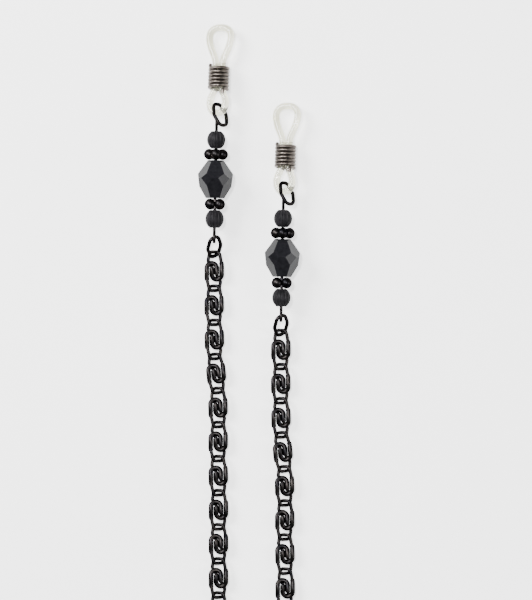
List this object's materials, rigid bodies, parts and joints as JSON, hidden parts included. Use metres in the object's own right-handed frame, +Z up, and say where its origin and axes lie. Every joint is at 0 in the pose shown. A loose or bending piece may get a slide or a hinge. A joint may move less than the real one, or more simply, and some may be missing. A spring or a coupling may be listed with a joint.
{
  "type": "eyeglass retainer chain",
  "caption": "Black snail chain that hangs spectacles from the neck, with a faceted bead, melon beads and a silicone temple loop at each end.",
  "frame": {"origin": "on the table under the middle of the layout's bounding box", "axes": "+Y along the two strands towards the temple loops, +Z up off the table, +X to the right seen from above"},
  "size_m": [0.0486, 0.2004, 0.0082],
  "materials": {
    "black_metal": "satin black plating",
    "black_glass": "polished black",
    "gunmetal_wire": "antique gunmetal plating",
    "silicone": "clear milky silicone"
  },
  "bodies": {
    "stored_chain": {"stored_chain": "black_metal"},
    "left_link_16": {"left_link_16": "black_metal"},
    "left_link_15": {"left_link_15": "black_metal"},
    "left_link_14": {"left_link_14": "black_metal"},
    "left_link_13": {"left_link_13": "black_metal"},
    "left_link_12": {"left_link_12": "black_metal"},
    "left_link_11": {"left_link_11": "black_metal"},
    "left_link_10": {"left_link_10": "black_metal"},
    "left_link_09": {"left_link_09": "black_metal"},
    "left_link_08": {"left_link_08": "black_metal"},
    "left_link_07": {"left_link_07": "black_metal"},
    "left_link_06": {"left_link_06": "black_metal"},
    "left_link_05": {"left_link_05": "black_metal"},
    "left_link_04": {"left_link_04": "black_metal"},
    "left_link_03": {"left_link_03": "black_metal"},
    "left_link_02": {"left_link_02": "black_metal"},
    "left_link_01": {"left_link_01": "black_metal"},
    "left_lower_ring": {"left_lower_ring": "black_metal"},
    "left_bead_pin": {"left_bead_pin": "black_metal"},
    "left_lower_melon_bead": {"left_lower_melon_bead": "black_glass"},
    "left_lower_spacer": {"left_lower_spacer": "black_metal"},
    "left_faceted_bead": {"left_faceted_bead": "black_glass"},
    "left_upper_spacer": {"left_upper_spacer": "black_metal"},
    "left_upper_melon_bead": {"left_upper_melon_bead": "black_glass"},
    "left_upper_ring": {"left_upper_ring": "black_metal"},
    "left_silicone_loop": {"left_silicone_loop": "silicone"},
    "left_wire_wrap": {"left_wire_wrap": "gunmetal_wire"},
    "right_link_08": {"right_link_08": "black_metal"},
    "right_link_07": {"right_link_07": "black_metal"},
    "right_link_06": {"right_link_06": "black_metal"},
    "right_link_05": {"right_link_05": "black_metal"},
    "right_link_04": {"right_link_04": "black_metal"},
    "right_link_03": {"right_link_03": "black_metal"},
    "right_link_02": {"right_link_02": "black_metal"},
    "right_link_01": {"right_link_01": "black_metal"},
    "right_lower_ring": {"right_lower_ring": "black_metal"},
    "right_bead_pin": {"right_bead_pin": "black_metal"},
    "right_lower_melon_bead": {"right_lower_melon_bead": "black_glass"},
    "right_lower_spacer": {"right_lower_spacer": "black_metal"},
    "right_faceted_bead": {"right_faceted_bead": "black_glass"},
    "right_upper_spacer": {"right_upper_spacer": "black_metal"},
    "right_upper_melon_bead": {"right_upper_melon_bead": "black_glass"},
    "right_upper_ring": {"right_upper_ring": "black_metal"},
    "right_silicone_loop": {"right_silicone_loop": "silicone"},
    "right_wire_wrap": {"right_wire_wrap": "gunmetal_wire"}
  },
  "joints": [
    {"name": "left_link_16_hinge", "type": "hinge", "parent": "stored_chain", "child": "left_link_16", "pos_m": [-0.01965, -0.07602, 0.0011], "axis": [1, 0, 0], "range_deg": [-30, 0]},
    {"name": "left_link_15_hinge", "type": "hinge", "parent": "left_link_16", "child": "left_link_15", "pos_m": [-0.01965, -0.06826, 0.0011], "axis": [-1, 0, 0], "range_deg": [-15, 40]},
    {"name": "left_link_14_hinge", "type": "hinge", "parent": "left_link_15", "child": "left_link_14", "pos_m": [-0.01965, -0.0605, 0.0011], "axis": [1, 0, 0], "range_deg": [-40, 40]},
    {"name": "left_link_13_hinge", "type": "hinge", "parent": "left_link_14", "child": "left_link_13", "pos_m": [-0.01965, -0.05274, 0.0011], "axis": [-1, 0, 0], "range_deg": [-40, 40]},
    {"name": "left_link_12_hinge", "type": "hinge", "parent": "left_link_13", "child": "left_link_12", "pos_m": [-0.01965, -0.04498, 0.0011], "axis": [1, 0, 0], "range_deg": [-40, 40]},
    {"name": "left_link_11_hinge", "type": "hinge", "parent": "left_link_12", "child": "left_link_11", "pos_m": [-0.01965, -0.03722, 0.0011], "axis": [-1, 0, 0], "range_deg": [-40, 40]},
    {"name": "left_link_10_hinge", "type": "hinge", "parent": "left_link_11", "child": "left_link_10", "pos_m": [-0.01965, -0.02946, 0.0011], "axis": [1, 0, 0], "range_deg": [-40, 40]},
    {"name": "left_link_09_hinge", "type": "hinge", "parent": "left_link_10", "child": "left_link_09", "pos_m": [-0.01965, -0.0217, 0.0011], "axis": [-1, 0, 0], "range_deg": [-40, 40]},
    {"name": "left_link_08_hinge", "type": "hinge", "parent": "left_link_09", "child": "left_link_08", "pos_m": [-0.01965, -0.01394, 0.0011], "axis": [1, -0.0035, 0], "range_deg": [-40, 40]},
    {"name": "left_link_07_hinge", "type": "hinge", "parent": "left_link_08", "child": "left_link_07", "pos_m": [-0.01962, -0.00618, 0.0011], "axis": [-0.9998, -0.0175, 0], "range_deg": [-40, 40]},
    {"name": "left_link_06_hinge", "type": "hinge", "parent": "left_link_07", "child": "left_link_06", "pos_m": [-0.01976, 0.00158, 0.0011], "axis": [1, -0.0087, 0], "range_deg": [-40, 40]},
    {"name": "left_link_05_hinge", "type": "hinge", "parent": "left_link_06", "child": "left_link_05", "pos_m": [-0.01969, 0.00934, 0.0011], "axis": [-0.9998, -0.0175, 0], "range_deg": [-40, 40]},
    {"name": "left_link_04_hinge", "type": "hinge", "parent": "left_link_05", "child": "left_link_04", "pos_m": [-0.01983, 0.0171, 0.0011], "axis": [0.9959, 0.0906, 0], "range_deg": [-40, 40]},
    {"name": "left_link_03_hinge", "type": "hinge", "parent": "left_link_04", "child": "left_link_03", "pos_m": [-0.02053, 0.02482, 0.0011], "axis": [-0.9999, -0.014, 0], "range_deg": [-40, 40]},
    {"name": "left_link_02_hinge", "type": "hinge", "parent": "left_link_03", "child": "left_link_02", "pos_m": [-0.02064, 0.03258, 0.0011], "axis": [1, 0, 0], "range_deg": [-40, 40]},
    {"name": "left_link_01_hinge", "type": "hinge", "parent": "left_link_02", "child": "left_link_01", "pos_m": [-0.02064, 0.04034, 0.0011], "axis": [-1, 0.007, 0], "range_deg": [-40, 40]},
    {"name": "left_lower_ring_hinge", "type": "hinge", "parent": "left_link_01", "child": "left_lower_ring", "pos_m": [-0.02058, 0.0481, 0.00132], "axis": [1, 0, 0], "range_deg": [-65, 3]},
    {"name": "left_bead_pin_hinge", "type": "hinge", "parent": "left_lower_ring", "child": "left_bead_pin", "pos_m": [-0.02058, 0.05184, 0.00409], "axis": [-1, 0, 0], "range_deg": [-60, 60]},
    {"name": "left_lower_melon_bead_spin", "type": "hinge", "parent": "left_bead_pin", "child": "left_lower_melon_bead", "pos_m": [-0.0205, 0.05605, 0.00409], "axis": [0.0209, 0.9998, 0], "continuous": true},
    {"name": "left_lower_spacer_spin", "type": "hinge", "parent": "left_bead_pin", "child": "left_lower_spacer", "pos_m": [-0.02043, 0.0594, 0.00409], "axis": [0.0209, 0.9998, 0], "continuous": true},
    {"name": "left_faceted_bead_spin", "type": "hinge", "parent": "left_bead_pin", "child": "left_faceted_bead", "pos_m": [-0.02031, 0.06505, 0.00409], "axis": [0.0209, 0.9998, 0], "continuous": true},
    {"name": "left_upper_spacer_spin", "type": "hinge", "parent": "left_bead_pin", "child": "left_upper_spacer", "pos_m": [-0.02019, 0.0707, 0.00409], "axis": [0.0209, 0.9998, 0], "continuous": true},
    {"name": "left_upper_melon_bead_spin", "type": "hinge", "parent": "left_bead_pin", "child": "left_upper_melon_bead", "pos_m": [-0.02012, 0.074, 0.00409], "axis": [0.0209, 0.9998, 0], "continuous": true},
    {"name": "left_upper_ring_hinge", "type": "hinge", "parent": "left_bead_pin", "child": "left_upper_ring", "pos_m": [-0.02004, 0.07782, 0.00409], "axis": [1, 0, 0], "range_deg": [-60, 45]},
    {"name": "left_silicone_loop_hinge", "type": "hinge", "parent": "left_upper_ring", "child": "left_silicone_loop", "pos_m": [-0.0199, 0.0808, 0.00392], "axis": [-1, 0, 0], "range_deg": [-22, 22]},
    {"name": "left_wire_wrap_slide", "type": "slide", "parent": "left_silicone_loop", "child": "left_wire_wrap", "axis": [0.0381, 0.9918, -0.1219], "range_m": [0, 0.0045], "deforming": ["left_silicone_loop"]},
    {"name": "right_link_08_hinge", "type": "hinge", "parent": "stored_chain", "child": "right_link_08", "pos_m": [-0.0045, -0.03178, 0.0011], "axis": [1, -0.0035, 0], "range_deg": [-30, 30]},
    {"name": "right_link_07_hinge", "type": "hinge", "parent": "right_link_08", "child": "right_link_07", "pos_m": [-0.00447, -0.02402, 0.0011], "axis": [-0.9998, -0.0175, 0], "range_deg": [-40, 40]},
    {"name": "right_link_06_hinge", "type": "hinge", "parent": "right_link_07", "child": "right_link_06", "pos_m": [-0.00461, -0.01626, 0.0011], "axis": [1, -0.0087, 0], "range_deg": [-40, 40]},
    {"name": "right_link_05_hinge", "type": "hinge", "parent": "right_link_06", "child": "right_link_05", "pos_m": [-0.00454, -0.0085, 0.0011], "axis": [-0.9998, -0.0175, 0], "range_deg": [-40, 40]},
    {"name": "right_link_04_hinge", "type": "hinge", "parent": "right_link_05", "child": "right_link_04", "pos_m": [-0.00468, -0.00074, 0.0011], "axis": [0.9959, 0.0906, 0], "range_deg": [-40, 40]},
    {"name": "right_link_03_hinge", "type": "hinge", "parent": "right_link_04", "child": "right_link_03", "pos_m": [-0.00538, 0.00698, 0.0011], "axis": [-0.9999, -0.014, 0], "range_deg": [-40, 40]},
    {"name": "right_link_02_hinge", "type": "hinge", "parent": "right_link_03", "child": "right_link_02", "pos_m": [-0.00549, 0.01474, 0.0011], "axis": [1, 0, 0], "range_deg": [-40, 40]},
    {"name": "right_link_01_hinge", "type": "hinge", "parent": "right_link_02", "child": "right_link_01", "pos_m": [-0.00549, 0.0225, 0.0011], "axis": [-1, 0.007, 0], "range_deg": [-40, 40]},
    {"name": "right_lower_ring_hinge", "type": "hinge", "parent": "right_link_01", "child": "right_lower_ring", "pos_m": [-0.00543, 0.03026, 0.00132], "axis": [1, 0, 0], "range_deg": [-65, 3]},
    {"name": "right_bead_pin_hinge", "type": "hinge", "parent": "right_lower_ring", "child": "right_bead_pin", "pos_m": [-0.00543, 0.034, 0.00409], "axis": [-1, 0, 0], "range_deg": [-60, 60]},
    {"name": "right_lower_melon_bead_spin", "type": "hinge", "parent": "right_bead_pin", "child": "right_lower_melon_bead", "pos_m": [-0.00535, 0.03821, 0.00409], "axis": [0.0209, 0.9998, 0], "continuous": true},
    {"name": "right_lower_spacer_spin", "type": "hinge", "parent": "right_bead_pin", "child": "right_lower_spacer", "pos_m": [-0.00528, 0.04156, 0.00409], "axis": [0.0209, 0.9998, 0], "continuous": true},
    {"name": "right_faceted_bead_spin", "type": "hinge", "parent": "right_bead_pin", "child": "right_faceted_bead", "pos_m": [-0.00516, 0.04721, 0.00409], "axis": [0.0209, 0.9998, 0], "continuous": true},
    {"name": "right_upper_spacer_spin", "type": "hinge", "parent": "right_bead_pin", "child": "right_upper_spacer", "pos_m": [-0.00504, 0.05286, 0.00409], "axis": [0.0209, 0.9998, 0], "continuous": true},
    {"name": "right_upper_melon_bead_spin", "type": "hinge", "parent": "right_bead_pin", "child": "right_upper_melon_bead", "pos_m": [-0.00497, 0.05616, 0.00409], "axis": [0.0209, 0.9998, 0], "continuous": true},
    {"name": "right_upper_ring_hinge", "type": "hinge", "parent": "right_bead_pin", "child": "right_upper_ring", "pos_m": [-0.00489, 0.05998, 0.00409], "axis": [1, 0, 0], "range_deg": [-60, 45]},
    {"name": "right_silicone_loop_hinge", "type": "hinge", "parent": "right_upper_ring", "child": "right_silicone_loop", "pos_m": [-0.00475, 0.06296, 0.00392], "axis": [-1, 0, 0], "range_deg": [-22, 22]},
    {"name": "right_wire_wrap_slide", "type": "slide", "parent": "right_silicone_loop", "child": "right_wire_wrap", "axis": [0.0381, 0.9918, -0.1219], "range_m": [0, 0.0045], "deforming": ["right_silicone_loop"]}
  ]
}
